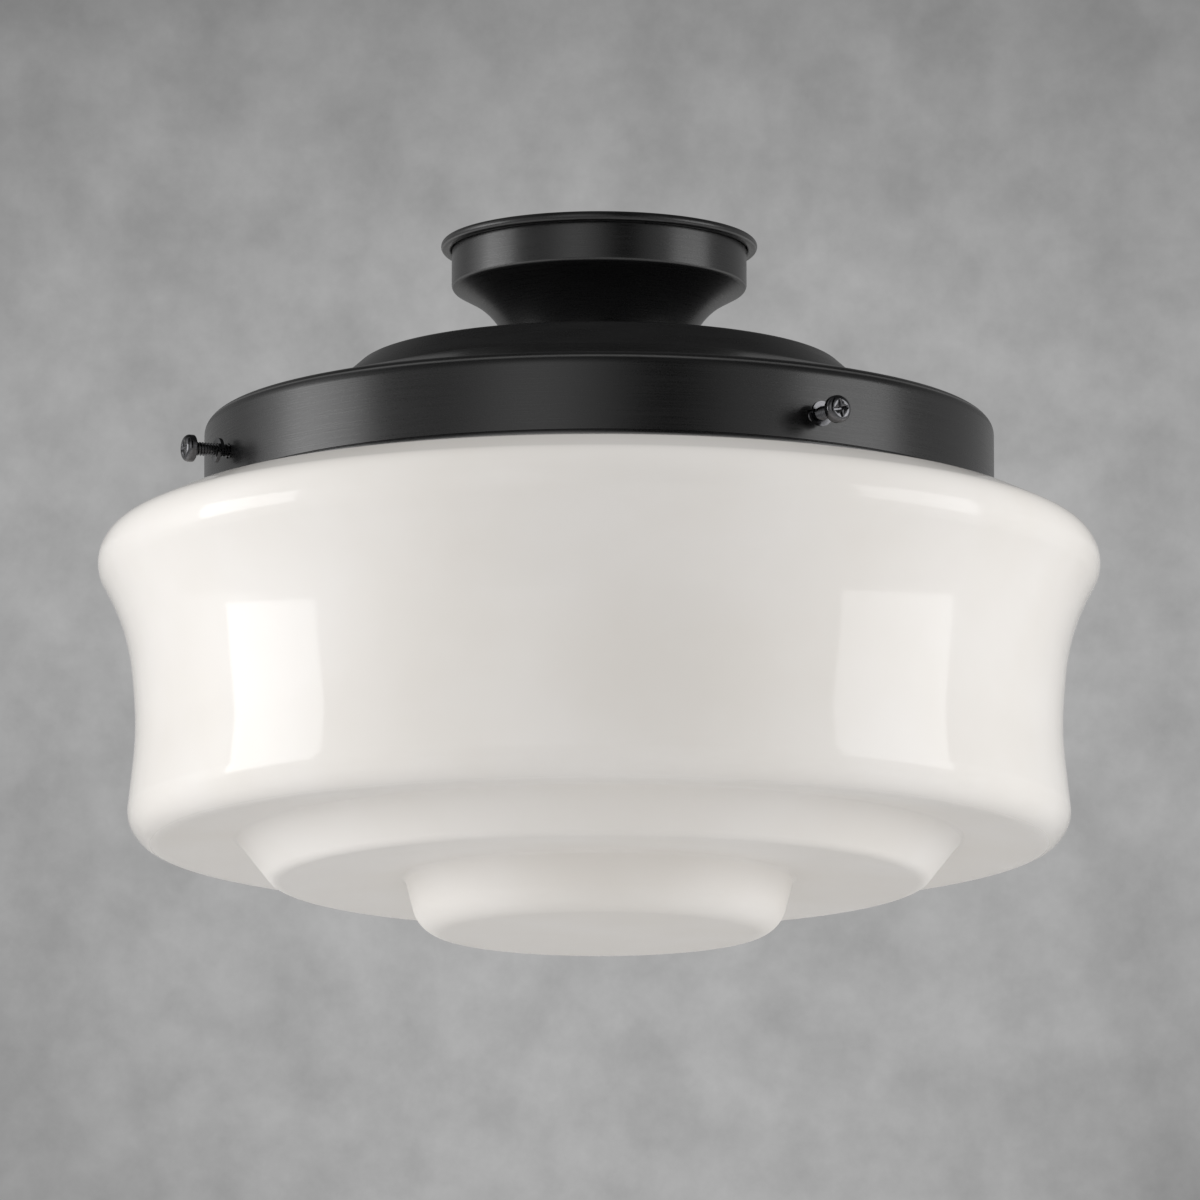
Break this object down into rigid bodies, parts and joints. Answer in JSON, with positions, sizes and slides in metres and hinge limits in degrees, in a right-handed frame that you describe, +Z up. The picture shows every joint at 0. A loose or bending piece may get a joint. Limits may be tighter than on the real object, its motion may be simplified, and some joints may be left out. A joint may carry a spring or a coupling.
{
  "type": "semi flush ceiling light",
  "caption": "Semi flush ceiling light: coved canopy, wide domed fitter pan, lamps under a strap and a stepped opal glass shade hung by its lip on side screws.",
  "frame": {"origin": "in the ceiling plane, on the axis of the light, midway between the two box screw slots of the crossbar", "axes": "+Z up to the ceiling along the nipple, -Y towards the front of the picture, +X to the right of the picture"},
  "size_m": [0.355, 0.355, 0.2496],
  "materials": {
    "black_metal": "satin black enamel with fine brushed streaks",
    "black_nickel": "polished black nickel",
    "opal_glass": "opaque white cased glass, glossy",
    "zinc_steel": "zinc plated",
    "green_screw": "green dyed plating",
    "ceramic": "white glaze",
    "brass": "bright",
    "block_plastic": "moulded",
    "black_lead": "satin insulation",
    "white_lead": "satin insulation",
    "nylon": "natural nylon",
    "nickel_base": "satin",
    "solder": "dull solder",
    "black_insulator": "glossy",
    "white_housing": "smooth moulding",
    "led_board": "white solder mask",
    "frosted_globe": "frosted diffuser"
  },
  "bodies": {
    "fitting": {"crossbar": "zinc_steel", "crossbar_nut": "zinc_steel", "nipple": "zinc_steel", "canopy": "black_metal", "fitter_pan": "black_metal", "clamp_washer": "zinc_steel", "clamp_nut": "zinc_steel", "socket_bracket": "zinc_steel", "ground_screw": "green_screw", "socket_body_1": "ceramic", "socket_body_2": "ceramic", "screw_shell_1": "brass", "screw_shell_2": "brass", "centre_contact_1": "brass", "centre_contact_2": "brass", "socket_screws": "zinc_steel", "terminal_block": "block_plastic", "terminal_screws": "brass", "block_screw": "brass", "lead_hot_1": "black_lead", "lead_hot_2": "black_lead", "lead_neutral_1": "white_lead", "lead_neutral_2": "white_lead", "weld_nut_1": "black_metal", "weld_nut_2": "black_metal", "weld_nut_3": "black_metal"},
    "shade": {"glass_shade": "opal_glass"},
    "pad_1": {"screw_pad_1": "nylon"},
    "screw_1": {"shade_screw_1": "black_nickel"},
    "washer_1": {"lock_washer_1": "black_nickel"},
    "pad_2": {"screw_pad_2": "nylon"},
    "screw_2": {"shade_screw_2": "black_nickel"},
    "washer_2": {"lock_washer_2": "black_nickel"},
    "pad_3": {"screw_pad_3": "nylon"},
    "screw_3": {"shade_screw_3": "black_nickel"},
    "washer_3": {"lock_washer_3": "black_nickel"},
    "bulb_tip_1": {"bulb_contact_1": "solder"},
    "bulb_1": {"bulb_insulator_1": "black_insulator", "bulb_base_1": "nickel_base", "bulb_housing_1": "white_housing", "led_board_1": "led_board", "bulb_globe_1": "frosted_globe"},
    "bulb_tip_2": {"bulb_contact_2": "solder"},
    "bulb_2": {"bulb_insulator_2": "black_insulator", "bulb_base_2": "nickel_base", "bulb_housing_2": "white_housing", "led_board_2": "led_board", "bulb_globe_2": "frosted_globe"}
  },
  "joints": [
    {"name": "shade_lift", "type": "slide", "parent": "fitting", "child": "shade", "axis": [0, 0, 1], "range_m": [0, 0.0013]},
    {"name": "screw_1_travel", "type": "slide", "parent": "fitting", "child": "pad_1", "axis": [-0.9272, -0.3746, 0], "range_m": [0, 0.00635]},
    {"name": "screw_1_turn", "type": "hinge", "parent": "pad_1", "child": "screw_1", "pos_m": [-0.13908, -0.05619, -0.0853], "axis": [-0.9272, -0.3746, 0], "range_deg": [0, 2160]},
    {"name": "washer_1_slide", "type": "slide", "parent": "screw_1", "child": "washer_1", "axis": [-0.9272, -0.3746, 0], "range_m": [-0.0027, 0.0072]},
    {"name": "screw_2_travel", "type": "slide", "parent": "fitting", "child": "pad_2", "axis": [0.5299, -0.848, 0], "range_m": [0, 0.00635]},
    {"name": "screw_2_turn", "type": "hinge", "parent": "pad_2", "child": "screw_2", "pos_m": [0.07949, -0.12721, -0.0853], "axis": [0.5299, -0.848, 0], "range_deg": [0, 2160]},
    {"name": "washer_2_slide", "type": "slide", "parent": "screw_2", "child": "washer_2", "axis": [0.5299, -0.848, 0], "range_m": [-0.0027, 0.0072]},
    {"name": "screw_3_travel", "type": "slide", "parent": "fitting", "child": "pad_3", "axis": [0.309, 0.9511, 0], "range_m": [0, 0.00635]},
    {"name": "screw_3_turn", "type": "hinge", "parent": "pad_3", "child": "screw_3", "pos_m": [0.04635, 0.14266, -0.0853], "axis": [0.309, 0.9511, 0], "range_deg": [0, 2160]},
    {"name": "washer_3_slide", "type": "slide", "parent": "screw_3", "child": "washer_3", "axis": [0.309, 0.9511, 0], "range_m": [-0.0027, 0.0072]},
    {"name": "bulb_1_travel", "type": "slide", "parent": "fitting", "child": "bulb_tip_1", "axis": [0, 0, -1], "range_m": [0, 0.02359]},
    {"name": "bulb_1_turn", "type": "hinge", "parent": "bulb_tip_1", "child": "bulb_1", "pos_m": [-0.048, 0, -0.1], "axis": [0, 0, -1], "range_deg": [0, 2340]},
    {"name": "bulb_2_travel", "type": "slide", "parent": "fitting", "child": "bulb_tip_2", "axis": [0, 0, -1], "range_m": [0, 0.02359]},
    {"name": "bulb_2_turn", "type": "hinge", "parent": "bulb_tip_2", "child": "bulb_2", "pos_m": [0.048, 0, -0.1], "axis": [0, 0, -1], "range_deg": [0, 2340]}
  ],
  "couplings": [
    {"joint": "screw_1_turn", "follows": "screw_1_travel", "rad_per_m": 5938.7},
    {"joint": "screw_2_turn", "follows": "screw_2_travel", "rad_per_m": 5938.7},
    {"joint": "screw_3_turn", "follows": "screw_3_travel", "rad_per_m": 5938.7},
    {"joint": "bulb_1_turn", "follows": "bulb_1_travel", "rad_per_m": 1731.4},
    {"joint": "bulb_2_turn", "follows": "bulb_2_travel", "rad_per_m": 1731.4}
  ]
}
